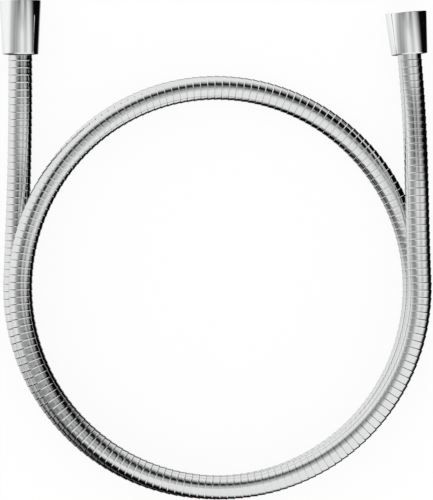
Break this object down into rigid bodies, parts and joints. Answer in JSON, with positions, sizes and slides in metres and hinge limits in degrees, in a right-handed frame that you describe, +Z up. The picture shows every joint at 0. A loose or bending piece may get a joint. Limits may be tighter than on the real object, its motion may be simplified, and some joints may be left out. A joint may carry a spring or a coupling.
{
  "type": "shower hose",
  "caption": "Flexible ribbed metal shower hose lying in a loop, with a free-turning conical threaded nut on each end and an anti-twist swivel.",
  "frame": {"origin": "middle of the plan, on the table that the hose lies on", "axes": "+X from the long nut's side to the short nut's side, +Y the way the nuts' mouths point, +Z up from the table"},
  "size_m": [0.2544, 0.2944, 0.0285],
  "materials": {
    "chrome_hose": "bright chrome on folded strip, with a fine groove at each turn",
    "chrome_nut": "mirror-polished chrome plating on brass",
    "brass": "turned brass, unplated",
    "rubber": "moulded black EPDM rubber",
    "dark_plastic": "moulded dark acetal plastic",
    "white_plastic": "moulded white acetal plastic",
    "spring_steel": "rolled spring wire",
    "yarn": "braided polyester yarn"
  },
  "bodies": {
    "hose": {"outer_hose": "chrome_hose", "braid_sleeve": "yarn", "inner_tube": "rubber", "shower_nipple": "brass", "shower_collar": "brass", "swivel_o_ring_front": "rubber", "swivel_o_ring_rear": "rubber", "thrust_ring": "white_plastic", "wall_nipple": "brass", "wall_collar": "brass", "wall_washer": "rubber", "wall_slip_ring": "white_plastic"},
    "swivel": {"swivel_hub": "brass", "shower_washer": "rubber", "shower_slip_ring": "white_plastic", "retaining_clip": "spring_steel"},
    "long_bush": {"shower_guide_bush": "dark_plastic"},
    "long_nut": {"shower_nut": "chrome_nut"},
    "short_bush": {"wall_guide_bush": "dark_plastic"},
    "short_nut": {"wall_nut": "chrome_nut"}
  },
  "joints": [
    {"name": "swivel_spin", "type": "hinge", "parent": "hose", "child": "swivel", "pos_m": [-0.11503, 0.13285, 0.0122], "axis": [0, -1, 0], "continuous": true},
    {"name": "long_nut_slide", "type": "slide", "parent": "hose", "child": "long_bush", "axis": [0, -1, 0], "range_m": [0, 0.012]},
    {"name": "long_nut_spin", "type": "hinge", "parent": "long_bush", "child": "long_nut", "pos_m": [-0.11503, 0.13125, 0.0122], "axis": [0, -1, 0], "continuous": true},
    {"name": "short_nut_slide", "type": "slide", "parent": "hose", "child": "short_bush", "axis": [0.0819, -0.9966, 0], "range_m": [0, 0.012]},
    {"name": "short_nut_spin", "type": "hinge", "parent": "short_bush", "child": "short_nut", "pos_m": [0.11345, 0.12771, 0.0122], "axis": [0.0819, -0.9966, 0], "continuous": true}
  ]
}
